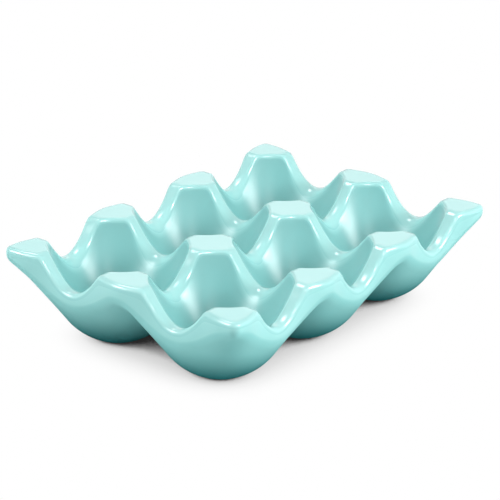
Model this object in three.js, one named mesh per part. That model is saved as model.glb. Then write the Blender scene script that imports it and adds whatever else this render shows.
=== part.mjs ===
// Six-cup stoneware egg tray: a fired clay shell of round cups, ridges and flat-topped posts,
// and the coat of glaze that covers it everywhere but on its six dry feet.
// Millimetres, +Z up. The origin is on the table under the middle of the tray, X along its length.

import * as THREE from 'three';

// Grid of cups
const CUPS_LONG = 3;
const CUPS_WIDE = 2;
const CUP_PITCH = 50;

// Heights above the table
const POST_HEIGHT = 37.5;
const SADDLE_HEIGHT = 25.8;

// One cup: a round bowl that runs into a flaring wall, which steepens gently on its way up, on a flat foot.
// Its outside is straight, and flares most towards the posts on the rim, so that it ends at their edges.
const BOWL_RADIUS = 18.5;
const CUP_ANGLE = 57;
const CUP_WALL_RADIUS = 114;
const OUTER_ANGLE = 58.5;
const OUTER_POST_ANGLE = 50;
const POST_FLARE = 3.5;
const WALL = 7;
const FOOT_RADIUS = 7;

// Ridges between the cups, and the posts where they cross
const POST_REACH = 10.6;
const RIDGE_SLOPE = 2.1;
const RIDGE_THICKNESS = 4.8;

// Rim: it stands out past the outer row of posts in round lobes, and less so at the saddles.
// Each rounding of its edge is kept below a share of the thickness it is on.
const POST_OVERHANG = 5.8;
const SADDLE_OVERHANG = 3;
const LOBE_SHARPNESS = 8;
const CORNER_RADIUS = 2.4;
const RIM_ROUNDING = 1.5;
const RIM_ROUNDING_SHARE = 0.4;
const UNDER_RIM_ROUNDING = 2.7;
const UNDER_RIM_ROUNDING_SHARE = 0.58;

// Heights over which two surfaces that meet are blended.
// The edge of a cup is rounded more at the saddles than at the posts.
const CUP_EDGE_BLEND = 1.6;
const SADDLE_EDGE_BLEND = 5;
const POST_EDGE_BLEND = 2;
const UNDER_POST_BLEND = 4;
const UNDERSIDE_BLEND = 8;
const WEB_BLEND = 5;

// Glaze: its thickness, its seat on the clay, and how far it stays from the edge of a foot
const GLAZE = 0.5;
const GLAZE_SEAT = 0.3;
const DRY_RING = 0.8;

// Facets: steps along half a ridge, rings in a bowl and on its wall, rays round a corner
const RIDGE_STEPS = 3;
const BOWL_RINGS = [0.45, 0.9];
const WALL_RING = 0.45;
const UNDER_BOWL_RINGS = [0.5, 0.8];
const UNDER_RIDGE_RINGS = [0.55];
const UNDER_CELL_SHARE = 0.9;
const CORNER_STEPS = 4;
const RIM_RINGS = [0.85, 0.3, 0];
const SOLVER_STEPS = 40;
const SAME_CORNER = 1e-3;

const halfPitch = CUP_PITCH / 2;
const rimX = CUPS_LONG * halfPitch;
const rimY = CUPS_WIDE * halfPitch;
const cupAngle = THREE.MathUtils.degToRad(CUP_ANGLE);
const outerAngle = THREE.MathUtils.degToRad(OUTER_ANGLE);
const outerPostAngle = THREE.MathUtils.degToRad(OUTER_POST_ANGLE);
const bowlCentre = Math.sqrt((BOWL_RADIUS + WALL) ** 2 - FOOT_RADIUS ** 2);
const wallStart = BOWL_RADIUS * Math.sin(cupAngle);
const ridgeReach = halfPitch - POST_REACH;
const rimRounding = Math.min(RIM_ROUNDING, RIM_ROUNDING_SHARE * RIDGE_THICKNESS);
const underRimRounding = Math.min(UNDER_RIM_ROUNDING, UNDER_RIM_ROUNDING_SHARE * RIDGE_THICKNESS);

// Lower of two heights, with the corner between them rounded over a height of blend
function blendLower(a, b, blend) {
  const near = Math.max(blend - Math.abs(a - b), 0) / blend;
  return Math.min(a, b) - (near * near * blend) / 4;
}

// Height of a circle's lower half at a distance from its middle, and the middle's own height past its sides
function arcHeight(distance, middleHeight, radius) {
  return middleHeight - Math.sqrt(Math.max(radius ** 2 - distance ** 2, 0));
}

// Inside of a cup at a distance from its axis: a round bowl, then a wall that steepens gently
function cupHeight(distance) {
  if (distance < wallStart) return arcHeight(distance, bowlCentre, BOWL_RADIUS);
  const pastBowl = CUP_WALL_RADIUS - BOWL_RADIUS;
  const wallMiddle = bowlCentre + pastBowl * Math.cos(cupAngle);
  return arcHeight(distance + pastBowl * Math.sin(cupAngle), wallMiddle, CUP_WALL_RADIUS);
}

// Outside of a cup, at a distance from its axis along X and along Y: a round bowl, then a straight wall
function outerHeight(u, v, towardsRim) {
  const distance = Math.hypot(u, v);
  const towardsPost = towardsRim && distance > 0 ? ((2 * u * v) / distance ** 2) ** POST_FLARE : 0;
  const angle = THREE.MathUtils.lerp(outerAngle, outerPostAngle, towardsPost);
  const radius = BOWL_RADIUS + WALL;
  const outerWallStart = radius * Math.sin(angle);
  if (distance < outerWallStart) return arcHeight(distance, bowlCentre, radius);
  return bowlCentre - radius * Math.cos(angle) + (distance - outerWallStart) * Math.tan(angle);
}

// Height along a ridge, from the bottom of a saddle up a hyperbola to a flat post
function ridgeWave(along, saddle, post, saddleRadius, blend) {
  const lift = saddleRadius * RIDGE_SLOPE ** 2;
  const flank = saddle + Math.sqrt(lift ** 2 + (RIDGE_SLOPE * along) ** 2) - lift;
  return blendLower(flank, post, blend);
}

const ridgeRise = POST_HEIGHT - SADDLE_HEIGHT;
const saddleRadius = ((RIDGE_SLOPE * ridgeReach) ** 2 - ridgeRise ** 2) / (2 * ridgeRise * RIDGE_SLOPE ** 2);

function ridgeTop(along) {
  return ridgeWave(along, SADDLE_HEIGHT, POST_HEIGHT, saddleRadius, POST_EDGE_BLEND);
}

function ridgeUnderside(along) {
  const saddle = SADDLE_HEIGHT - RIDGE_THICKNESS;
  const post = POST_HEIGHT - RIDGE_THICKNESS;
  return ridgeWave(along, saddle, post, saddleRadius + RIDGE_THICKNESS, UNDER_POST_BLEND);
}

// Height over which the edge of a cup is rounded against a ridge
function edgeBlend(ridge) {
  const share = THREE.MathUtils.clamp((ridge - SADDLE_HEIGHT) / ridgeRise, 0, 1);
  return THREE.MathUtils.lerp(SADDLE_EDGE_BLEND, CUP_EDGE_BLEND, share);
}

// Distance from the middle of the nearest cup along one axis
function fromCup(place, cups) {
  const first = ((1 - cups) / 2) * CUP_PITCH;
  const nearest = THREE.MathUtils.clamp(Math.round((place - first) / CUP_PITCH), 0, cups - 1);
  return Math.abs(place - first - nearest * CUP_PITCH);
}

// Whether a place is past the middle of the outer cups
function pastCups(place, cups) {
  return Math.abs(place) > ((cups - 1) / 2) * CUP_PITCH;
}

// Outside of a cup, with its wall run into the walls of the cups beside it
function cupUnderside(x, y) {
  const u = fromCup(x, CUPS_LONG);
  const v = fromCup(y, CUPS_WIDE);
  const pastX = pastCups(x, CUPS_LONG);
  const pastY = pastCups(y, CUPS_WIDE);
  const towardsRim = pastX || pastY;
  let under = outerHeight(u, v, towardsRim);
  if (!pastX) under = blendLower(under, outerHeight(CUP_PITCH - u, v, towardsRim), WEB_BLEND);
  if (!pastY) under = blendLower(under, outerHeight(u, CUP_PITCH - v, towardsRim), WEB_BLEND);
  return under;
}

// How far the rim stands out beside a place along it, widest at the posts
function overhang(along, cups) {
  const wave = Math.sin((Math.PI * Math.min(fromCup(along, cups), halfPitch)) / CUP_PITCH);
  return THREE.MathUtils.lerp(SADDLE_OVERHANG, POST_OVERHANG, wave ** LOBE_SHARPNESS);
}

// Distance inside the outline of the tray, a wavy rectangle with round corners
function insideRim(x, y) {
  const past = new THREE.Vector2(
    Math.abs(x) - rimX - overhang(y, CUPS_WIDE) + CORNER_RADIUS,
    Math.abs(y) - rimY - overhang(x, CUPS_LONG) + CORNER_RADIUS,
  );
  const beside = Math.min(Math.max(past.x, past.y), 0);
  return CORNER_RADIUS - beside - Math.hypot(Math.max(past.x, 0), Math.max(past.y, 0));
}

// Depth of the round edge of the rim
function edgeDrop(x, y, rounding) {
  const short = THREE.MathUtils.clamp(rounding - insideRim(x, y), 0, rounding);
  return rounding - Math.sqrt(rounding ** 2 - short ** 2);
}

// Upper surface of the tray
function topHeight(x, y) {
  const u = fromCup(x, CUPS_LONG);
  const v = fromCup(y, CUPS_WIDE);
  const ridge = ridgeTop(Math.min(u, v));
  return blendLower(cupHeight(Math.hypot(u, v)), ridge, edgeBlend(ridge)) - edgeDrop(x, y, rimRounding);
}

// Under surface of the tray
function undersideHeight(x, y) {
  const u = fromCup(x, CUPS_LONG);
  const v = fromCup(y, CUPS_WIDE);
  const under = blendLower(cupUnderside(x, y), ridgeUnderside(Math.min(u, v)), UNDERSIDE_BLEND);
  return Math.max(under, 0) + edgeDrop(x, y, underRimRounding);
}

// Place between low and high where a rising function passes zero
function crossing(rising, low, high) {
  for (let step = 0; step < SOLVER_STEPS; step++) {
    const middle = (low + high) / 2;
    if (rising(middle) < 0) low = middle;
    else high = middle;
  }
  return (low + high) / 2;
}

// Skin: the corners and triangles of the tray's whole outer surface
const corners = [];
const cornerNumbers = new Map();
const skinFaces = [];
const footRings = [];

function addCorner(x, y, z) {
  const key = [x, y, z].map((value) => Math.round(value / SAME_CORNER)).join();
  if (!cornerNumbers.has(key)) {
    cornerNumbers.set(key, corners.length);
    corners.push(new THREE.Vector3(x, y, z));
  }
  return cornerNumbers.get(key);
}

function addFace(faces, a, b, c) {
  if (a !== b && b !== c && c !== a) faces.push([a, b, c]);
}

// How far the middle of a line between two corners is off a surface
function offSurface(a, b, height) {
  const middle = corners[a].clone().lerp(corners[b], 0.5);
  return Math.abs(middle.z - height(middle.x, middle.y));
}

// Band between two rows of corners, the second of which may have half or twice as many.
// Each four-sided patch is split along the diagonal that lies closer to the surface.
function addBand(faces, from, to, height) {
  const steps = Math.min(from.length, to.length) - 1;
  const wideFrom = (from.length - 1) / steps;
  const wideTo = (to.length - 1) / steps;
  for (let step = 0; step < steps; step++) {
    const a = from.slice(step * wideFrom, (step + 1) * wideFrom + 1);
    const b = to.slice(step * wideTo, (step + 1) * wideTo + 1);
    for (let part = 0; part < wideFrom - 1; part++) addFace(faces, a[part], b[0], a[part + 1]);
    for (let part = 0; part < wideTo - 1; part++) addFace(faces, a[0], b[part], b[part + 1]);
    const [a0, a1] = a.slice(-2);
    const [b0, b1] = b.slice(-2);
    if (height && offSurface(a1, b0, height) < offSurface(a0, b1, height)) {
      addFace(faces, a0, b0, a1);
      addFace(faces, a1, b0, b1);
    } else {
      addFace(faces, a0, b0, b1);
      addFace(faces, a0, b1, a1);
    }
  }
}

function addFan(faces, middle, ring, upward) {
  for (let step = 0; step + 1 < ring.length; step++) {
    const [a, b] = upward ? [ring[step], ring[step + 1]] : [ring[step + 1], ring[step]];
    addFace(faces, middle, a, b);
  }
}

// Places along one side of a cup's square cell, close together on the slopes of the ridge
const flatStart = ridgeReach + POST_EDGE_BLEND / (2 * RIDGE_SLOPE);
const halfSide = Array.from({ length: RIDGE_STEPS + 1 }, (_, step) => (step / RIDGE_STEPS) * flatStart);
const sidePlaces = [
  -halfPitch,
  ...halfSide.slice(1).reverse().map((place) => -place),
  ...halfSide,
  halfPitch,
];

// Outline of a cell, anticlockwise from the middle of its +X side, back to where it began
function cellOutline() {
  const right = sidePlaces.slice(0, -1).map((place) => new THREE.Vector2(halfPitch, place));
  const around = [0, 1, 2, 3].flatMap((quarter) =>
    right.map((point) => point.clone().rotateAround(new THREE.Vector2(), (quarter * Math.PI) / 2)));
  const middle = (sidePlaces.length - 1) / 2;
  const turned = [...around.slice(middle), ...around.slice(0, middle)];
  return [...turned, turned[0]];
}

function addCup(centreX, centreY) {
  const outline = cellOutline();
  const everySecond = outline.filter((_, ray) => ray % 2 === 0);

  // Distance out along a ray to where the wall of the cup meets the ridge, and how far the edge is rounded
  function edgeOn(ray) {
    const reach = ray.length();
    const direction = ray.clone().normalize();
    const ridgeAt = (distance) => ridgeTop(Math.min(Math.abs(direction.x), Math.abs(direction.y)) * distance);
    const meets = crossing((distance) => cupHeight(distance) - ridgeAt(distance), 0, reach);
    const spread = edgeBlend(ridgeAt(meets)) / Math.tan(cupAngle);
    return { edge: Math.min(meets, reach - spread / 2), spread };
  }

  function ring(rays, distanceAlong, height) {
    return rays.map((ray) => {
      const place = ray.clone().setLength(distanceAlong(ray));
      const x = centreX + place.x;
      const y = centreY + place.y;
      return addCorner(x, y, height(x, y));
    });
  }

  // Inside of the cup, from its floor up to the ridges
  function bowlDistance(ray, share) {
    const distance = BOWL_RADIUS * Math.sin(share * cupAngle);
    const { edge, spread } = edgeOn(ray);
    return Math.min(distance, (distance / wallStart) * (edge - spread));
  }
  const bowlRings = BOWL_RINGS.map((share) =>
    ring(everySecond, (ray) => bowlDistance(ray, share), topHeight));
  const wallRing = ring(outline, (ray) => {
    const { edge, spread } = edgeOn(ray);
    return THREE.MathUtils.lerp(bowlDistance(ray, BOWL_RINGS.at(-1)), edge - spread, WALL_RING);
  }, topHeight);
  const edgeRings = [-1, 0, 1].map((side) => ring(outline, (ray) => {
    const { edge, spread } = edgeOn(ray);
    return Math.min(edge + side * spread, (edge + ray.length()) / 2);
  }, topHeight));
  const cellTop = ring(outline, (ray) => ray.length(), topHeight);
  const inside = [...bowlRings, wallRing, ...edgeRings, cellTop];
  addFan(skinFaces, addCorner(centreX, centreY, topHeight(centreX, centreY)), inside[0], true);
  inside.slice(1).forEach((next, step) => addBand(skinFaces, inside[step], next, topHeight));

  // Outside of the cup, from under the ridges down to the edge of the dry foot
  const dryEdge = FOOT_RADIUS + DRY_RING;
  const underWallStart = (BOWL_RADIUS + WALL) * Math.sin(outerAngle);
  const cellUnder = ring(outline, (ray) => ray.length(), undersideHeight);
  const underBowl = (ray) =>
    Math.min(UNDER_BOWL_RINGS.at(-1) * underWallStart, UNDER_CELL_SHARE * ray.length());
  const underRidge = UNDER_RIDGE_RINGS.map((share) => ring(outline, (ray) =>
    THREE.MathUtils.lerp(underBowl(ray), ray.length(), share), undersideHeight));
  const underRings = UNDER_BOWL_RINGS.map((share, step) => {
    const rays = step === UNDER_BOWL_RINGS.length - 1 ? outline : everySecond;
    return ring(rays, (ray) => underBowl(ray) * (share / UNDER_BOWL_RINGS.at(-1)), undersideHeight);
  });
  const foot = ring(everySecond, () => dryEdge, undersideHeight);
  const outside = [cellUnder, ...underRidge.reverse(), ...underRings.reverse(), foot];
  outside.slice(1).forEach((next, step) => addBand(skinFaces, outside[step], next, undersideHeight));
  footRings.push({ centre: new THREE.Vector2(centreX, centreY), ring: foot });
}

// Rays out from the outer rows of posts to the rim, anticlockwise, fanned out at the corners
function rimRays() {
  const sides = [
    { count: CUPS_LONG, out: new THREE.Vector2(0, -1), distance: rimY },
    { count: CUPS_WIDE, out: new THREE.Vector2(1, 0), distance: rimX },
    { count: CUPS_LONG, out: new THREE.Vector2(0, 1), distance: rimY },
    { count: CUPS_WIDE, out: new THREE.Vector2(-1, 0), distance: rimX },
  ];
  const rays = [];
  for (const { count, out, distance } of sides) {
    const along = new THREE.Vector2(-out.y, out.x);
    for (let cup = 0; cup < count; cup++) {
      const middle = (cup - (count - 1) / 2) * CUP_PITCH;
      const places = cup === 0 ? sidePlaces : sidePlaces.slice(1);
      for (const place of places) {
        const base = out.clone().multiplyScalar(distance).addScaledVector(along, middle + place);
        rays.push({ base, out });
      }
    }
    const cornerBase = rays.at(-1).base;
    for (let step = 1; step < CORNER_STEPS; step++) {
      const turn = (step / CORNER_STEPS) * (Math.PI / 2);
      rays.push({ base: cornerBase, out: out.clone().rotateAround(new THREE.Vector2(), turn) });
    }
  }
  return [...rays, rays[0]];
}

function addRim() {
  const rays = rimRays();
  const farOut = CUP_PITCH;

  function row(inside, height) {
    return rays.map(({ base, out }) => {
      const short = (distance) => inside - insideRim(base.x + out.x * distance, base.y + out.y * distance);
      const place = base.clone().addScaledVector(out, crossing(short, 0, farOut));
      return addCorner(place.x, place.y, height(place.x, place.y));
    });
  }

  const topBase = rays.map(({ base }) => addCorner(base.x, base.y, topHeight(base.x, base.y)));
  const underBase = rays.map(({ base }) => addCorner(base.x, base.y, undersideHeight(base.x, base.y)));
  const topRows = RIM_RINGS.map((share) => row(share * rimRounding, topHeight));
  const underRows = RIM_RINGS.map((share) => row(share * underRimRounding, undersideHeight));
  const over = [topBase, ...topRows];
  const under = [underBase, ...underRows].reverse();
  over.slice(1).forEach((next, step) => addBand(skinFaces, over[step], next, topHeight));
  addBand(skinFaces, over.at(-1), under[0]);
  under.slice(1).forEach((next, step) => addBand(skinFaces, under[step], next, undersideHeight));
}

for (let long = 0; long < CUPS_LONG; long++) {
  for (let wide = 0; wide < CUPS_WIDE; wide++) {
    addCup((long - (CUPS_LONG - 1) / 2) * CUP_PITCH, (wide - (CUPS_WIDE - 1) / 2) * CUP_PITCH);
  }
}
addRim();

function geometryOf(points, faces) {
  const geometry = new THREE.BufferGeometry();
  const places = points.flatMap((point) => point.toArray());
  geometry.setAttribute('position', new THREE.Float32BufferAttribute(places, 3));
  geometry.setIndex(faces.flat());
  geometry.computeVertexNormals();
  return geometry;
}

const skinNormals = geometryOf(corners, skinFaces).getAttribute('normal');

// The skin moved into the clay by a depth
function sunkCorners(depth) {
  return corners.map((point, number) =>
    point.clone().addScaledVector(new THREE.Vector3().fromBufferAttribute(skinNormals, number), -depth));
}

// Clay shell: the skin less the glaze, closed by a flat foot under each cup
function stonewareBody() {
  const points = sunkCorners(GLAZE + GLAZE_SEAT);
  const faces = [...skinFaces];
  for (const { centre, ring } of footRings) {
    const rim = ring.slice(0, -1).map((number) => {
      const { x, y } = points[number];
      const place = new THREE.Vector2(x, y).sub(centre).setLength(FOOT_RADIUS).add(centre);
      return points.push(new THREE.Vector3(place.x, place.y, 0)) - 1;
    });
    const footEdge = [...rim, rim[0]];
    addBand(faces, ring, footEdge);
    addFan(faces, points.push(new THREE.Vector3(centre.x, centre.y, 0)) - 1, footEdge, false);
  }
  return geometryOf(points, faces);
}

// Glaze: the skin and its own inner side, joined round the opening at each foot
function glazeCoat() {
  const points = [...corners, ...sunkCorners(GLAZE)];
  const inner = (number) => number + corners.length;
  const faces = [...skinFaces, ...skinFaces.map(([a, b, c]) => [inner(a), inner(c), inner(b)])];
  for (const { ring } of footRings) addBand(faces, ring, ring.map(inner));
  return geometryOf(points, faces);
}

function piece(name, geometry, look) {
  const mesh = new THREE.Mesh(geometry, new THREE.MeshStandardMaterial(look));
  mesh.name = name;
  return mesh;
}

const tray = new THREE.Group();
tray.add(
  piece('stoneware_body', stonewareBody(), { color: 0xd9cdb8, roughness: 0.85, metalness: 0 }),
  piece('glaze_coat', glazeCoat(), { color: 0x9adfdb, roughness: 0.12, metalness: 0 }),
);

export default tray;
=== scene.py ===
import math

import bpy
import numpy as np
from mathutils import Matrix, Vector


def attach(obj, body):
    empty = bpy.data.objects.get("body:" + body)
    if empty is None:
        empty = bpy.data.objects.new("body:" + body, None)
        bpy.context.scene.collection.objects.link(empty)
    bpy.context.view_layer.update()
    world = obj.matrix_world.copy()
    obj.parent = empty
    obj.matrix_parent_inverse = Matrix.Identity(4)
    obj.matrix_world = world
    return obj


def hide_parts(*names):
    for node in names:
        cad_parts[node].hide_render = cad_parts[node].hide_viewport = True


# Fine surfaces and looks of the six-cup stoneware egg tray, in the frame of its solids:
# metres, +Z up, the origin on the table under the middle of the tray, X along its length.

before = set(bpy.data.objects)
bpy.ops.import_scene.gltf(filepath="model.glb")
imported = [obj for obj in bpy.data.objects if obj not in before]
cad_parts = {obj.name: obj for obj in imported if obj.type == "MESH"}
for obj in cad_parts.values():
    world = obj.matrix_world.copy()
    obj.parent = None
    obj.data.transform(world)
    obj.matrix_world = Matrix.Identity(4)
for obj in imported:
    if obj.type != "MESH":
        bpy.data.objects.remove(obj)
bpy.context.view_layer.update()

# Sizes of the tray, in millimetres
CUPS_LONG = 3
CUPS_WIDE = 2
CUP_PITCH = 50.0
POST_HEIGHT = 37.5
SADDLE_HEIGHT = 25.8
BOWL_RADIUS = 18.5
CUP_ANGLE = math.radians(57)
CUP_WALL_RADIUS = 114.0
OUTER_ANGLE = math.radians(58.5)
OUTER_POST_ANGLE = math.radians(50)
POST_FLARE = 3.5
WALL = 7.0
FOOT_RADIUS = 7.0
FOOT_INSET = 0.4
POST_REACH = 10.6
RIDGE_SLOPE = 2.1
RIDGE_THICKNESS = 4.8
POST_OVERHANG = 5.8
SADDLE_OVERHANG = 3.0
LOBE_SHARPNESS = 6.0
CORNER_RADIUS = 3.0
RIM_ROUNDING = 1.8
UNDER_RIM_ROUNDING = 2.7
CUP_EDGE_BLEND = 2.8
SADDLE_EDGE_BLEND = 9.0
POST_EDGE_BLEND = 2.0
UNDER_POST_BLEND = 4.0
UNDERSIDE_BLEND = 8.0
WEB_BLEND = 5.0
GLAZE = 0.5
GLAZE_SEAT = 0.3
DRY_RING = 0.8
METRES = 0.001

# How the glaze looks: pale over the edges and tops, partly thin glaze and partly painted light; darker low
# on the outside, which is painted shade; smoothest where it is thin and pale
THIN_AND_LIT_SHARE = 0.75
THIN_AND_LIT_RIM = 9.0
RIM_THIN_AND_LIT = 0.3
FOOT_SHADE_HEIGHT = 20.5
OUTSIDE_START = 0.45
OUTSIDE_SPAN = 0.8
GLASSY_START = 0.4
WALL_ROUGHNESS = 0.34
RIDGE_ROUGHNESS = 0.06
WALL_GLOSS = 0.64
RIDGE_GLOSS = 1.0

# Rows and rays of the fine surfaces, with their distances in millimetres
RIDGE_STEPS = 10
POST_STEPS = 7
BOWL_ROWS = 14
EDGE_ROWS = 12
LAND_ROWS = 5
UNDER_ROWS = 16
CORNER_STEPS = 14
OVERHANG_ROWS = 5
ROUND_ROWS = 7
FACE_ROWS = 3
FOOT_ROWS = 4
EDGE_SPREAD = 1.8
NEAR_AXIS = 1e-4
FAR_AWAY = 1e6
HALVINGS = 40
MERGE_DIGITS = 3

half_pitch = CUP_PITCH / 2
rim_x = CUPS_LONG * half_pitch
rim_y = CUPS_WIDE * half_pitch
bowl_centre = math.sqrt((BOWL_RADIUS + WALL) ** 2 - FOOT_RADIUS ** 2)
ridge_reach = half_pitch - POST_REACH
ridge_rise = POST_HEIGHT - SADDLE_HEIGHT
flank_rise = RIDGE_SLOPE * ridge_reach
saddle_radius = (flank_rise ** 2 - ridge_rise ** 2) / (2 * ridge_rise * RIDGE_SLOPE ** 2)


# Shares and blends

def between(start, end, share):
    return start + (end - start) * share


def shares(rows):
    return np.linspace(0, 1, rows + 1)


def smooth_share(share):
    share = np.clip(share, 0, 1)
    return share * share * (3 - 2 * share)


def nearness(a, b, blend):
    return np.clip(blend - np.abs(a - b), 0, None) / blend


# Lower of two heights, rounded where they come within the blend of each other
def blend_lower(a, b, blend):
    return np.minimum(a, b) - nearness(a, b, blend) ** 2 * blend / 4


# Lower of two heights, with a rounding that starts more gently
def ease_lower(a, b, blend):
    return np.minimum(a, b) - nearness(a, b, blend) ** 3 * blend / 6


# Where a rising function passes through zero, by halving
def crossing(rising, low, high):
    low = np.array(low, float)
    high = np.array(high, float)
    for _ in range(HALVINGS):
        middle = (low + high) / 2
        below = rising(middle) < 0
        low = np.where(below, middle, low)
        high = np.where(below, high, middle)
    return (low + high) / 2


# Places on the grid of cups

def cup_place(number, cups):
    return (number - (cups - 1) / 2) * CUP_PITCH


def from_cup(place, cups):
    first = cup_place(0, cups)
    nearest = np.clip(np.round((place - first) / CUP_PITCH), 0, cups - 1)
    return np.abs(place - first - nearest * CUP_PITCH)


def from_next_cup(place, cups):
    last = cup_place(cups - 1, cups)
    return np.where(np.abs(place) > last, FAR_AWAY, CUP_PITCH - from_cup(place, cups))


def overhang(along, cups):
    wave = np.sin(np.pi * np.minimum(from_cup(along, cups), half_pitch) / CUP_PITCH)
    return between(SADDLE_OVERHANG, POST_OVERHANG, wave ** LOBE_SHARPNESS)


# Distance inside the rim's outline, which is scalloped along its sides and rounded at its corners
def inside_rim(x, y):
    past_x = np.abs(x) - rim_x - overhang(y, CUPS_WIDE) + CORNER_RADIUS
    past_y = np.abs(y) - rim_y - overhang(x, CUPS_LONG) + CORNER_RADIUS
    beside = np.minimum(np.maximum(past_x, past_y), 0)
    return CORNER_RADIUS - beside - np.hypot(np.maximum(past_x, 0), np.maximum(past_y, 0))


# Surfaces of the tray as heights over the table

# Height of a circle's lower half at a distance from its middle, and the middle's own height past its sides
def arc_height(distance, middle_height, radius):
    return middle_height - np.sqrt(np.clip(radius ** 2 - distance ** 2, 0, None))


# Inside of a cup at a distance from its axis: a round bowl, then a wall that steepens gently
def cup_height(distance):
    wall_start = BOWL_RADIUS * math.sin(CUP_ANGLE)
    past_bowl = CUP_WALL_RADIUS - BOWL_RADIUS
    bowl = arc_height(distance, bowl_centre, BOWL_RADIUS)
    wall_middle = bowl_centre + past_bowl * math.cos(CUP_ANGLE)
    wall = arc_height(distance + past_bowl * math.sin(CUP_ANGLE), wall_middle, CUP_WALL_RADIUS)
    return np.where(distance < wall_start, bowl, wall)


# Outside of a cup: a round bowl, then a straight wall that flares most towards the posts on the rim
def outer_height(u, v, post_angle):
    distance = np.hypot(u, v)
    turned = 2 * u * v / np.maximum(distance, NEAR_AXIS) ** 2
    angle = between(OUTER_ANGLE, post_angle, turned ** POST_FLARE)
    radius = BOWL_RADIUS + WALL
    wall_start = radius * np.sin(angle)
    wall = bowl_centre - radius * np.cos(angle) + (distance - wall_start) * np.tan(angle)
    return np.where(distance < wall_start, arc_height(distance, bowl_centre, radius), wall)


# Height along a ridge: round in its saddle, straight up its flank, flat on the post
def ridge_wave(along, saddle, post, radius, blend):
    lift = radius * RIDGE_SLOPE ** 2
    flank = saddle + np.sqrt(lift ** 2 + (RIDGE_SLOPE * along) ** 2) - lift
    return blend_lower(flank, post, blend)


def ridge_top(along):
    return ridge_wave(along, SADDLE_HEIGHT, POST_HEIGHT, saddle_radius, POST_EDGE_BLEND)


def ridge_underside(along):
    saddle = SADDLE_HEIGHT - RIDGE_THICKNESS
    post = POST_HEIGHT - RIDGE_THICKNESS
    return ridge_wave(along, saddle, post, saddle_radius + RIDGE_THICKNESS, UNDER_POST_BLEND)


# Height lost to the round edge of the rim
def edge_drop(x, y, rounding):
    short = np.clip(rounding - inside_rim(x, y), 0, rounding)
    return rounding - np.sqrt(rounding ** 2 - short ** 2)


# Height over which the edge of a cup is rounded: more at the saddles than at the posts
def edge_blend(ridge):
    share = np.clip((POST_HEIGHT - ridge) / ridge_rise, 0, 1) ** 2
    return between(CUP_EDGE_BLEND, SADDLE_EDGE_BLEND, share)


def top_height(x, y):
    u = from_cup(x, CUPS_LONG)
    v = from_cup(y, CUPS_WIDE)
    cup = cup_height(np.hypot(u, v))
    ridge = ridge_top(np.minimum(u, v))
    return ease_lower(cup, ridge, edge_blend(ridge)) - edge_drop(x, y, RIM_ROUNDING)


def under_height(x, y):
    u = from_cup(x, CUPS_LONG)
    v = from_cup(y, CUPS_WIDE)
    next_u = from_next_cup(x, CUPS_LONG)
    next_v = from_next_cup(y, CUPS_WIDE)
    past_last_cup = (next_u > CUP_PITCH) | (next_v > CUP_PITCH)
    post_angle = np.where(past_last_cup, OUTER_POST_ANGLE, OUTER_ANGLE)
    cup = outer_height(u, v, post_angle)
    beside = outer_height(next_u, v, post_angle)
    behind = outer_height(u, next_v, post_angle)
    cups = blend_lower(blend_lower(cup, beside, WEB_BLEND), behind, WEB_BLEND)
    ridge = ridge_underside(np.minimum(u, v))
    return np.maximum(blend_lower(cups, ridge, UNDERSIDE_BLEND), 0) + edge_drop(x, y, UNDER_RIM_ROUNDING)


# Skin of the tray: corners and faces of its whole outer surface but for the feet

def ring_faces(one, two):
    return np.stack([one, two, np.roll(two, -1), np.roll(one, -1)], -1)


class Skin:
    def __init__(self):
        self.points = []
        self.faces = []
        self.foot_rings = []
        self.count = 0

    def ring(self, x, y, z):
        self.points.append(np.stack([x, y, z], -1))
        first = self.count
        self.count += len(x)
        return np.arange(first, self.count)

    def bands(self, rings):
        for one, two in zip(rings, rings[1:]):
            self.faces.append(ring_faces(one, two))


# Places along one side of a cup's cell, closer together on the posts
def side_places():
    flat_start = ridge_reach + POST_EDGE_BLEND / (2 * RIDGE_SLOPE)
    slope = np.linspace(0, flat_start, RIDGE_STEPS + 1)
    post = np.linspace(flat_start, half_pitch, POST_STEPS + 1)[1:]
    half = np.concatenate([slope, post])
    return np.concatenate([-half[:0:-1], half])


def cell_outline():
    places = side_places()[:-1]
    side = np.full_like(places, half_pitch)
    x = np.concatenate([side, -places, -side, places])
    y = np.concatenate([places, side, -places, -side])
    return x, y


# One cup's cell: rings from its axis over its edge to the ridges' middle, then beneath to the dry foot
def add_cup(skin, centre_x, centre_y):
    out_x, out_y = cell_outline()
    reach = np.hypot(out_x, out_y)
    way_x = out_x / reach
    way_y = out_y / reach
    aside = np.minimum(np.abs(way_x), np.abs(way_y))
    edge = crossing(lambda distance: cup_height(distance) - ridge_top(aside * distance), 0 * reach, reach)
    spread = np.minimum(EDGE_SPREAD, (reach - edge) / 2)

    def ring(distance, height):
        x = centre_x + way_x * distance
        y = centre_y + way_y * distance
        return skin.ring(x, y, height(x, y))

    distances = [0 * reach + NEAR_AXIS]
    distances += [share * (edge - spread) for share in shares(BOWL_ROWS)[1:]]
    distances += [edge + spread * place for place in np.linspace(-1, 1, EDGE_ROWS + 1)[1:]]
    distances += [between(edge + spread, reach, share) for share in shares(LAND_ROWS)[1:]]
    skin.bands([ring(distance, top_height) for distance in distances])

    distances = [between(reach, FOOT_RADIUS + DRY_RING, share) for share in shares(UNDER_ROWS)]
    under = [ring(distance, under_height) for distance in distances]
    skin.bands(under)
    skin.foot_rings.append((centre_x, centre_y, under[-1]))


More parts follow.
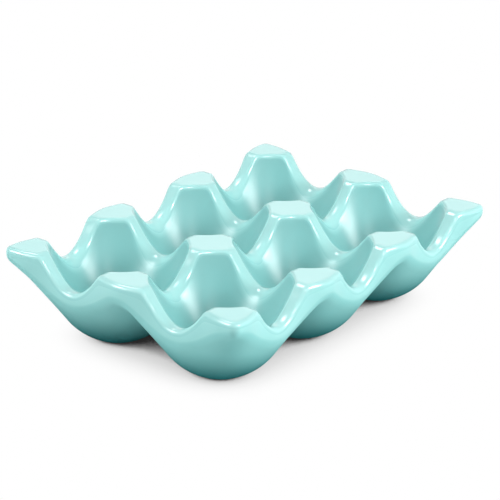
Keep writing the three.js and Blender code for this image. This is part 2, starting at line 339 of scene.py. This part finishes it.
# Rays from the outermost ridges to the rim: the points that they start from, and their ways out
def rim_rays():
    sides = (
        (CUPS_LONG, (0, -1), rim_y),
        (CUPS_WIDE, (1, 0), rim_x),
        (CUPS_LONG, (0, 1), rim_y),
        (CUPS_WIDE, (-1, 0), rim_x),
    )
    bases = []
    ways = []
    for cups, (out_x, out_y), distance in sides:
        for cup in range(cups):
            places = side_places() if cup == 0 else side_places()[1:]
            for place in places + cup_place(cup, cups):
                bases.append((out_x * distance - out_y * place, out_y * distance + out_x * place))
                ways.append((out_x, out_y))
        for step in range(1, CORNER_STEPS):
            turn = step / CORNER_STEPS * math.pi / 2
            way_x = out_x * math.cos(turn) - out_y * math.sin(turn)
            way_y = out_x * math.sin(turn) + out_y * math.cos(turn)
            bases.append(bases[-1])
            ways.append((way_x, way_y))
    return np.array(bases), np.array(ways, float)


# Overhang round the tray: rows out to the rim, down its face and back in beneath
def add_rim(skin):
    bases, ways = rim_rays()

    def spots(distance):
        x = bases[:, 0] + ways[:, 0] * distance
        y = bases[:, 1] + ways[:, 1] * distance
        return x, y

    # Distances along the rays to where they are so far inside the rim
    def reach(inside):
        def short(distance):
            return inside - inside_rim(*spots(distance))
        return crossing(short, np.zeros(len(bases)), np.full(len(bases), CUP_PITCH))

    def ring(distance, height):
        x, y = spots(distance)
        return skin.ring(x, y, height(x, y))

    def rings(height, rounding):
        start = reach(rounding)
        flat = [start * share for share in shares(OVERHANG_ROWS)]
        turns = np.linspace(0, math.pi / 2, ROUND_ROWS + 1)[1:-1]
        curved = [reach(rounding * (1 - math.sin(turn))) for turn in turns]
        return [ring(distance, height) for distance in flat + curved + [edge]]

    edge = reach(0.0)
    over = rings(top_height, RIM_ROUNDING)
    under = rings(under_height, UNDER_RIM_ROUNDING)
    edge_x, edge_y = spots(edge)
    high = top_height(edge_x, edge_y)
    low = under_height(edge_x, edge_y)
    face = [skin.ring(edge_x, edge_y, between(high, low, share)) for share in shares(FACE_ROWS)[1:-1]]
    skin.bands(over + face + under[::-1])


# The whole skin, with corners that coincide made one
def tray_skin():
    skin = Skin()
    for long in range(CUPS_LONG):
        for wide in range(CUPS_WIDE):
            add_cup(skin, cup_place(long, CUPS_LONG), cup_place(wide, CUPS_WIDE))
    add_rim(skin)
    points = np.concatenate(skin.points)
    faces = np.concatenate(skin.faces)
    rounded = np.round(points, MERGE_DIGITS)
    _, first, same = np.unique(rounded, axis=0, return_index=True, return_inverse=True)
    same = same.reshape(-1)
    feet = [(x, y, same[ring]) for x, y, ring in skin.foot_rings]
    return points[first], same[faces], feet


def corner_normals(points, faces):
    one = points[faces[:, 2]] - points[faces[:, 0]]
    two = points[faces[:, 3]] - points[faces[:, 1]]
    flat = np.cross(one, two)
    normals = np.zeros_like(points)
    for corner in range(4):
        np.add.at(normals, faces[:, corner], flat)
    return normals / np.linalg.norm(normals, axis=1, keepdims=True)


# Pieces made from the skin

# Corners of a face, without any that is the same as the corner before it
def distinct_corners(face):
    return [number for place, number in enumerate(face) if number != face[place - 1]]


def mesh_object(name, points, faces):
    mesh = bpy.data.meshes.new(name)
    polygons = [distinct_corners(face) for face in faces.tolist()]
    polygons = [polygon for polygon in polygons if len(polygon) > 2]
    mesh.from_pydata((points * METRES).tolist(), [], polygons)
    mesh.validate()
    mesh.polygons.foreach_set("use_smooth", np.ones(len(mesh.polygons), bool))
    mesh.update()
    piece = bpy.data.objects.new(name, mesh)
    bpy.context.scene.collection.objects.link(piece)
    return piece


def set_values(piece, name, values):
    attribute = piece.data.attributes.new(name, "FLOAT", "POINT")
    attribute.data.foreach_set("value", np.asarray(values, np.float32))


# How far the glaze is pale on the upper side, partly as thin glaze and partly as painted light on the lit
# ridges and tops: on the ridges, and down the walls of the cups to a depth
def thin_and_lit_glaze(x, y):
    u = from_cup(x, CUPS_LONG)
    v = from_cup(y, CUPS_WIDE)
    ridge = ridge_top(np.minimum(u, v))
    return smooth_share(1 + (cup_height(np.hypot(u, v)) - ridge) / (THIN_AND_LIT_SHARE * edge_blend(ridge)))


# Painted shade at a height on the outside: darker the lower it lies, towards the foot
def painted_foot_shade(height):
    return smooth_share(1 - height / FOOT_SHADE_HEIGHT)


# Looks of the glaze at each corner of the skin: the outside begins where the rim turns downwards
def glaze_values(points, normals):
    x, y, z = points.T
    upward = normals[:, 2]
    inside = inside_rim(x, y)
    round_rim = smooth_share((OUTSIDE_START - upward) / OUTSIDE_SPAN)
    outside = np.where(inside > 2 * RIM_ROUNDING, upward <= 0, round_rim)
    # Pale colour on the outside close to the rim's edge: partly thin glaze, partly painted light
    thin_and_lit_under = RIM_THIN_AND_LIT * smooth_share(1 - inside / THIN_AND_LIT_RIM)
    thin_and_lit = between(thin_and_lit_glaze(x, y), thin_and_lit_under, outside)
    glassy = smooth_share((thin_and_lit - GLASSY_START) / (1 - GLASSY_START))
    return {
        "thin_and_lit": thin_and_lit,
        # Painted shade: the outside darkens towards the foot
        "foot_shade": outside * painted_foot_shade(z),
        "rough": between(WALL_ROUGHNESS, RIDGE_ROUGHNESS, glassy),
        "gloss": between(WALL_GLOSS, RIDGE_GLOSS, glassy) * (1 - outside),
    }


# Glaze: the skin and its own inner side, joined round the opening at each foot
def glaze_piece(points, normals, faces, feet):
    count = len(points)
    both_sides = np.concatenate([points, points - normals * GLAZE])
    all_faces = [faces, faces[:, ::-1] + count]
    all_faces += [ring_faces(ring, ring + count) for _, _, ring in feet]
    piece = mesh_object("glaze_surface", both_sides, np.concatenate(all_faces))
    for name, values in glaze_values(points, normals).items():
        set_values(piece, name, np.tile(values, 2))
    return piece


# Clay: the skin less the glaze and its seat, closed by a flat dry foot with a round edge under each cup
def clay_piece(points, normals, faces, feet):
    shell = points - normals * (GLAZE + GLAZE_SEAT)
    all_points = [shell]
    all_faces = [faces]
    count = len(shell)
    for centre_x, centre_y, ring in feet:
        ways = shell[ring, :2] - (centre_x, centre_y)
        reach = np.linalg.norm(ways, axis=1, keepdims=True)
        last = ring
        for step in range(1, FOOT_ROWS + 1):
            turn = step / FOOT_ROWS * math.pi / 2
            distance = between(reach, FOOT_RADIUS - FOOT_INSET, 1 - math.cos(turn))
            place = (centre_x, centre_y) + ways / reach * distance
            height = shell[ring, 2:] * (1 - math.sin(turn))
            all_points.append(np.concatenate([place, height], axis=1))
            row = np.arange(count, count + len(ring))
            count += len(row)
            all_faces.append(ring_faces(last, row))
            last = row
        all_points.append(np.array([[centre_x, centre_y, 0.0]]))
        all_faces.append(ring_faces(last, np.full(len(last), count)))
        count += 1
    return mesh_object("clay_body", np.concatenate(all_points), np.concatenate(all_faces))


# Materials

GLAZE_IOR = 1.5
CLOUD_SCALE = 34.0
CLOUD_DETAIL = 3.0
CLOUD_STOPS = (0.3, 0.7)
BODY_COLOURS = ((0.225, 0.555, 0.545), (0.255, 0.58, 0.57))
# Pale colours of thin glaze, also painted light on the tops and ridges
PALE_THIN_AND_LIT_COLOURS = ((0.395, 0.81, 0.79), (0.435, 0.84, 0.82))
# Colours of painted shade on the outside towards the foot
DEEP_SHADE_COLOURS = ((0.005, 0.125, 0.135), (0.008, 0.145, 0.155))
RIPPLE_SCALE = 90.0
RIPPLE_DETAIL = 2.0
RIPPLE_STRENGTH = 0.04
RIPPLE_DEPTH = 0.002
CLAY_ROUGHNESS = 0.9
GRAIN_SCALE = 900.0
GRAIN_DETAIL = 6.0
GRAIN_ROUGHNESS = 0.7
GRAIN_STOPS = (0.3, 0.55, 0.8)
CLAY_COLOURS = ((0.52, 0.44, 0.33), (0.68, 0.60, 0.48), (0.76, 0.69, 0.58))
GRAIN_STRENGTH = 0.4
GRAIN_DEPTH = 0.0003


def set_stops(ramp, places, colours):
    elements = ramp.color_ramp.elements
    while len(elements) < len(places):
        elements.new(0.5)
    for element, place, colour in zip(elements, places, colours):
        element.position = place
        element.color = (*colour, 1)


class Nodes:
    def __init__(self, name):
        self.material = bpy.data.materials.new(name)
        self.material.use_nodes = True
        self.tree = self.material.node_tree
        self.shader = self.tree.nodes["Principled BSDF"]

    def add(self, kind, **inputs):
        node = self.tree.nodes.new(kind)
        for name, value in inputs.items():
            node.inputs[name].default_value = value
        return node

    def link(self, source, target):
        self.tree.links.new(source, target)

    def shade(self, source, name):
        self.link(source, self.shader.inputs[name])

    def ramp(self, factor, places, colours):
        node = self.add("ShaderNodeValToRGB")
        set_stops(node, places, colours)
        self.link(factor, node.inputs["Fac"])
        return node.outputs["Color"]

    def noise(self, scale, detail, rough=0.5):
        place = self.add("ShaderNodeTexCoord").outputs["Object"]
        node = self.add("ShaderNodeTexNoise", Scale=scale, Detail=detail, Roughness=rough)
        self.link(place, node.inputs["Vector"])
        return node.outputs["Fac"]

    def attribute(self, name):
        node = self.add("ShaderNodeAttribute")
        node.attribute_name = name
        return node.outputs["Fac"]

    def mix(self, factor, one, two):
        node = self.add("ShaderNodeMix")
        node.data_type = "RGBA"
        self.link(factor, node.inputs["Factor"])
        self.link(one, node.inputs["A"])
        self.link(two, node.inputs["B"])
        return node.outputs["Result"]

    def bump(self, height, strength, distance):
        node = self.add("ShaderNodeBump", Strength=strength, Distance=distance)
        self.link(height, node.inputs["Height"])
        return node.outputs["Normal"]


def glaze_material():
    nodes = Nodes("aqua_glaze")
    cloud = nodes.noise(CLOUD_SCALE, CLOUD_DETAIL)
    body = nodes.ramp(cloud, CLOUD_STOPS, BODY_COLOURS)
    pale_and_lit = nodes.ramp(cloud, CLOUD_STOPS, PALE_THIN_AND_LIT_COLOURS)
    deep_shade = nodes.ramp(cloud, CLOUD_STOPS, DEEP_SHADE_COLOURS)
    # Pale where the glaze is thin, partly painted light on the lit tops and ridges
    thinned_and_lit = nodes.mix(nodes.attribute("thin_and_lit"), body, pale_and_lit)
    # Painted shade: the deep colour darkens the outside towards the foot
    nodes.shade(nodes.mix(nodes.attribute("foot_shade"), thinned_and_lit, deep_shade), "Base Color")
    nodes.shade(nodes.attribute("rough"), "Roughness")
    nodes.shader.inputs["IOR"].default_value = GLAZE_IOR
    nodes.shade(nodes.attribute("gloss"), "Specular IOR Level")
    ripple = nodes.noise(RIPPLE_SCALE, RIPPLE_DETAIL)
    nodes.shade(nodes.bump(ripple, RIPPLE_STRENGTH, RIPPLE_DEPTH), "Normal")
    return nodes.material


def clay_material():
    nodes = Nodes("bare_clay")
    grain = nodes.noise(GRAIN_SCALE, GRAIN_DETAIL, GRAIN_ROUGHNESS)
    nodes.shade(nodes.ramp(grain, GRAIN_STOPS, CLAY_COLOURS), "Base Color")
    nodes.shader.inputs["Roughness"].default_value = CLAY_ROUGHNESS
    nodes.shade(nodes.bump(grain, GRAIN_STRENGTH, GRAIN_DEPTH), "Normal")
    return nodes.material


# The tray

skin_points, skin_faces, skin_feet = tray_skin()
skin_normals = corner_normals(skin_points, skin_faces)
glaze = glaze_piece(skin_points, skin_normals, skin_faces, skin_feet)
clay = clay_piece(skin_points, skin_normals, skin_faces, skin_feet)
glaze.data.materials.append(glaze_material())
clay.data.materials.append(clay_material())
for piece, node, slot in ((glaze, "glaze_coat", "glaze"), (clay, "stoneware_body", "stoneware")):
    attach(piece, "root")
    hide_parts(node)


# Table and white surroundings, in metres

FLOOR_SIZE = 6.0
FLOOR_BOUNCE = 0.9
SHADOW_REACH = 0.07
SHADOW_SAMPLES = 32
SHADOW_STOPS = (0.082, 0.125, 0.28, 0.4, 0.5)
SHADOW_GREYS = (0.02, 0.6, 0.86, 0.97, 1.0)
ROOM_LIGHT = 0.15
ROOM_SEEN = 1.0


def grey_colour(grey):
    return (grey, grey, grey)


# Whether a ray is seen, straight or in a reflection, rather than lighting another surface
def ray_is_seen(tree):
    path = tree.nodes.new("ShaderNodeLightPath")
    share = path.outputs["Is Camera Ray"]
    for kind in ("Is Glossy Ray", "Is Transmission Ray"):
        either = tree.nodes.new("ShaderNodeMath")
        either.operation = "MAXIMUM"
        tree.links.new(share, either.inputs[0])
        tree.links.new(path.outputs[kind], either.inputs[1])
        share = either.outputs[0]
    return share


def choose_shader(tree, lighting, seen, output):
    choice = tree.nodes.new("ShaderNodeMixShader")
    tree.links.new(ray_is_seen(tree), choice.inputs[0])
    tree.links.new(lighting.outputs[0], choice.inputs[1])
    tree.links.new(seen.outputs[0], choice.inputs[2])
    tree.links.new(choice.outputs[0], output.inputs["Surface"])


# Floor: white to the eye, darker the more of the room the tray hides from it
def floor_material():
    material = bpy.data.materials.new("floor_white")
    material.use_nodes = True
    tree = material.node_tree
    tree.nodes.remove(tree.nodes["Principled BSDF"])
    open_share = tree.nodes.new("ShaderNodeAmbientOcclusion")
    open_share.samples = SHADOW_SAMPLES
    open_share.inputs["Distance"].default_value = SHADOW_REACH
    shadow = tree.nodes.new("ShaderNodeValToRGB")
    set_stops(shadow, SHADOW_STOPS, [grey_colour(grey) for grey in SHADOW_GREYS])
    tree.links.new(open_share.outputs["AO"], shadow.inputs[0])
    seen = tree.nodes.new("ShaderNodeEmission")
    tree.links.new(shadow.outputs[0], seen.inputs["Color"])
    bounce = tree.nodes.new("ShaderNodeBsdfDiffuse")
    bounce.inputs["Color"].default_value = (*grey_colour(FLOOR_BOUNCE), 1)
    choose_shader(tree, bounce, seen, tree.nodes["Material Output"])
    return material


def white_background(node, strength):
    node.inputs["Color"].default_value = (1, 1, 1, 1)
    node.inputs["Strength"].default_value = strength
    return node


bpy.ops.mesh.primitive_plane_add(size=FLOOR_SIZE, location=(0, 0, 0))
floor = bpy.context.object
floor.name = "floor"
floor.data.materials.append(floor_material())

world = bpy.data.worlds.new("white_room")
world.use_nodes = True
bpy.context.scene.world = world
room_nodes = world.node_tree.nodes
room_light = white_background(room_nodes["Background"], ROOM_LIGHT)
room_seen = white_background(room_nodes.new("ShaderNodeBackground"), ROOM_SEEN)
choose_shader(world.node_tree, room_light, room_seen, room_nodes["World Output"])


# Lamps, in metres and degrees

LAMP_TARGET = Vector((0, 0, 0.02))
PANEL_HALF = 0.5


def towards(azimuth, elevation):
    a = math.radians(azimuth)
    e = math.radians(elevation)
    return Vector((math.sin(a) * math.cos(e), -math.cos(a) * math.cos(e), math.sin(e)))


# Share of a panel's light at a place across it: none at its edges, all in its middle
def panel_fade(tree, place):
    from_edge = tree.nodes.new("ShaderNodeMath")
    from_edge.operation = "PINGPONG"
    from_edge.inputs[1].default_value = PANEL_HALF
    tree.links.new(place, from_edge.inputs[0])
    fade = tree.nodes.new("ShaderNodeMapRange")
    fade.interpolation_type = "SMOOTHSTEP"
    fade.inputs["From Max"].default_value = PANEL_HALF
    tree.links.new(from_edge.outputs[0], fade.inputs["Value"])
    return fade.outputs["Result"]


# Lamp panel whose light fades smoothly from its middle to its edges
def softbox(name, azimuth, elevation, distance, width, height, brightness):
    data = bpy.data.lights.new(name, "AREA")
    data.shape = "RECTANGLE"
    data.size = width
    data.size_y = height
    data.energy = brightness * math.pi * width * height
    data.use_nodes = True
    tree = data.node_tree
    geometry = tree.nodes.new("ShaderNodeNewGeometry")
    sides = tree.nodes.new("ShaderNodeSeparateXYZ")
    tree.links.new(geometry.outputs["Parametric"], sides.inputs[0])
    both = tree.nodes.new("ShaderNodeMath")
    both.operation = "MULTIPLY"
    for number, side in enumerate(("X", "Y")):
        tree.links.new(panel_fade(tree, sides.outputs[side]), both.inputs[number])
    tree.links.new(both.outputs[0], tree.nodes["Emission"].inputs["Strength"])
    lamp = bpy.data.objects.new(name, data)
    way = towards(azimuth, elevation)
    lamp.location = LAMP_TARGET + way * distance
    lamp.rotation_mode = "QUATERNION"
    lamp.rotation_quaternion = way.to_track_quat("Z", "Y")
    bpy.context.scene.collection.objects.link(lamp)


softbox("right_panel", azimuth=16, elevation=26, distance=1.0, width=0.55, height=0.5, brightness=34.0)
softbox("left_panel", azimuth=-122, elevation=28, distance=1.0, width=0.9, height=0.6, brightness=12.5)
softbox("back_panel", azimuth=127, elevation=22, distance=1.3, width=1.6, height=0.8, brightness=0.6)
softbox("glint_panel", azimuth=-28, elevation=42, distance=1.0, width=0.22, height=0.2, brightness=34.0)
softbox("overhead_panel", azimuth=177, elevation=62, distance=1.0, width=0.6, height=0.5, brightness=8.0)


# Camera, in metres, degrees and pixels of the image

CAMERA_AZIMUTH = -52.77
CAMERA_ELEVATION = 21.79
CAMERA_ROLL = 1.79
CAMERA_DISTANCE = 1.0027
CAMERA_TARGET = Vector((0.01369, 0.01075, 0.020))
SENSOR = 36.0
FOCAL_PIXELS = 2526.8
IMAGE_PIXELS = 500

lens = bpy.data.cameras.new("camera")
lens.sensor_width = SENSOR
lens.lens = FOCAL_PIXELS / IMAGE_PIXELS * SENSOR
camera = bpy.data.objects.new("camera", lens)
azimuth = math.radians(CAMERA_AZIMUTH)
roll = math.radians(CAMERA_ROLL)
back = towards(CAMERA_AZIMUTH, CAMERA_ELEVATION)
right = Vector((math.cos(azimuth), math.sin(azimuth), 0))
up = back.cross(right)
rolled_right = right * math.cos(roll) + up * math.sin(roll)
rolled_up = up * math.cos(roll) - right * math.sin(roll)
turn = Matrix((rolled_right, rolled_up, back)).transposed().to_4x4()
camera.matrix_world = Matrix.Translation(CAMERA_TARGET + back * CAMERA_DISTANCE) @ turn
bpy.context.scene.collection.objects.link(camera)
bpy.context.scene.camera = camera
bpy.context.scene.view_settings.view_transform = "Standard"
